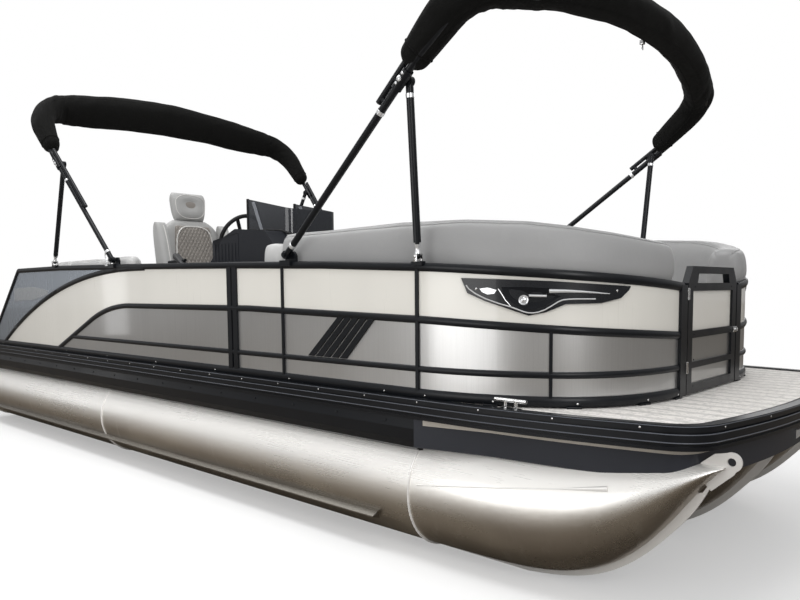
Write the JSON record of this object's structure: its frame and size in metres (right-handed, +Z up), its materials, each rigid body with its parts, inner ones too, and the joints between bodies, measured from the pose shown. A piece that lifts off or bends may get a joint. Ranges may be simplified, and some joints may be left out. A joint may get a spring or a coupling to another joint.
{
  "type": "pontoon boat",
  "caption": "Pontoon boat on round tubes with a railed deck, wrap lounges, helm console, folded canopy hoops and a tilted outboard.",
  "frame": {"origin": "on the floor under the keels, at the middle of the overall box", "axes": "+X towards the bow, +Y to port, +Z up"},
  "size_m": [9.302, 2.9556, 3.2728],
  "materials": {
    "tube_metal": "mill finish with a satin polish",
    "frame_metal": "mill finish",
    "rail_black": "black satin powder coat",
    "trim_black": "black extruded trim",
    "panel_cream": "pale cream gloss paint",
    "panel_silver": "metallic silver gloss paint",
    "panel_tinted": "dark blue grey gloss paint",
    "deck_floor": "woven vinyl floor in pale grey stripes",
    "vinyl_grey": "mid grey upholstery vinyl",
    "vinyl_light": "light grey upholstery vinyl",
    "base_plastic": "moulded grey seat base",
    "console_shell": "dark moulded shell",
    "screen": "smoked acrylic",
    "wheel_black": "black wheel rim",
    "stainless": "polished stainless steel",
    "canvas_black": "black canvas",
    "engine_black": "black gloss paint",
    "engine_block": "cast block",
    "lamp_dark": "dark gloss lamp housing"
  },
  "bodies": {
    "hull": {"tube_starboard": "tube_metal", "tube_centre": "tube_metal", "tube_port": "tube_metal", "keel_fins": "tube_metal", "lifting_strakes": "tube_metal", "risers": "frame_metal", "cross_channels": "frame_metal", "deck": "deck_floor", "rub_rail": "trim_black", "side_skirts": "trim_black", "bow_fascia": "rail_black", "fence_sides": "rail_black", "fence_bows": "rail_black", "cream_panels": "panel_cream", "silver_panels": "panel_silver", "quarter_panels": "panel_tinted", "louvre_bars": "rail_black", "light_inserts": "lamp_dark", "fence_stern": "rail_black", "bow_lounge_bases": "base_plastic", "bow_lounge_seats": "vinyl_light", "bow_lounge_backs": "vinyl_grey", "aft_lounge_base": "base_plastic", "aft_lounge_seat": "vinyl_light", "aft_lounge_back": "vinyl_grey", "port_lounge_base": "base_plastic", "port_lounge_cushions": "vinyl_grey", "console": "console_shell", "windscreen": "screen", "throttle": "wheel_black", "chair_pedestal": "stainless", "hoop_mounts": "rail_black", "cleats": "stainless", "motor_pod": "tube_metal", "clamp_bracket": "engine_black", "ladder_hinges": "stainless"},
    "bow_gate": {"bow_gate_frame": "rail_black", "bow_gate_panels": "panel_silver"},
    "stern_gate": {"stern_gate_frame": "rail_black", "stern_gate_panel": "panel_silver"},
    "front_canopy": {"front_hoop": "rail_black", "front_boot": "canvas_black"},
    "front_props": {"front_braces": "rail_black"},
    "rear_canopy": {"rear_hoop": "rail_black", "rear_boot": "canvas_black"},
    "rear_props": {"rear_braces": "rail_black"},
    "helm_wheel": {"steering_wheel": "wheel_black"},
    "helm_chair": {"helm_seat": "vinyl_light"},
    "engine_swivel": {"swivel_bracket": "engine_black"},
    "engine": {"engine_leg": "engine_black", "engine_cowl": "engine_black", "powerhead": "engine_block"},
    "screw": {"propeller": "stainless"},
    "boarding_ladder": {"ladder": "stainless"}
  },
  "joints": [
    {"name": "bow_gate_hinge", "type": "hinge", "parent": "hull", "child": "bow_gate", "pos_m": [4.113, 0.36, 1.16], "axis": [0, 0, -1], "range_deg": [0, 90]},
    {"name": "stern_gate_hinge", "type": "hinge", "parent": "hull", "child": "stern_gate", "pos_m": [-2.185, 1.145, 1.09], "axis": [0, 0, 1], "range_deg": [0, 90]},
    {"name": "front_canopy_pivot", "type": "hinge", "parent": "hull", "child": "front_canopy", "pos_m": [2.155, 0, 1.59], "axis": [0, -1, 0], "range_deg": [0, 54]},
    {"name": "front_prop_pivot", "type": "hinge", "parent": "front_canopy", "child": "front_props", "pos_m": [3.2051, 0, 2.35295], "axis": [0, 1, 0], "range_deg": [0, 54]},
    {"name": "rear_canopy_pivot", "type": "hinge", "parent": "hull", "child": "rear_canopy", "pos_m": [-0.031, 0, 1.632], "axis": [0, 1, 0], "range_deg": [0, 40.5]},
    {"name": "rear_prop_pivot", "type": "hinge", "parent": "rear_canopy", "child": "rear_props", "pos_m": [-0.7324, 0, 2.45324], "axis": [0, -1, 0], "range_deg": [0, 40.5]},
    {"name": "helm_wheel_turn", "type": "hinge", "parent": "hull", "child": "helm_wheel", "pos_m": [0.898, -0.69, 1.78], "axis": [-0.8829, 0, 0.4695], "range_deg": [-540, 540]},
    {"name": "helm_chair_swivel", "type": "hinge", "parent": "hull", "child": "helm_chair", "pos_m": [0.418, -0.69, 1.17], "axis": [0, 0, 1], "continuous": true},
    {"name": "engine_tilt", "type": "hinge", "parent": "hull", "child": "engine_swivel", "pos_m": [-3.682, 0, 0.8], "axis": [0, 1, 0], "range_deg": [-56, 6]},
    {"name": "engine_steer", "type": "hinge", "parent": "engine_swivel", "child": "engine", "pos_m": [-3.85869, 0, 0.78251], "axis": [0.788, 0, 0.6157], "range_deg": [-30, 30]},
    {"name": "screw_spin", "type": "hinge", "parent": "engine", "child": "screw", "pos_m": [-4.54944, 0, 0.61085], "axis": [0.6157, 0, -0.788], "continuous": true},
    {"name": "ladder_hinge", "type": "hinge", "parent": "hull", "child": "boarding_ladder", "pos_m": [-3.348, 0.85, 0.876], "axis": [0, -1, 0], "range_deg": [0, 255]}
  ],
  "couplings": [
    {"joint": "front_prop_pivot", "follows": "front_canopy_pivot", "ratio": 1},
    {"joint": "rear_prop_pivot", "follows": "rear_canopy_pivot", "ratio": 1},
    {"joint": "helm_wheel_turn", "follows": "engine_steer", "ratio": -18}
  ]
}
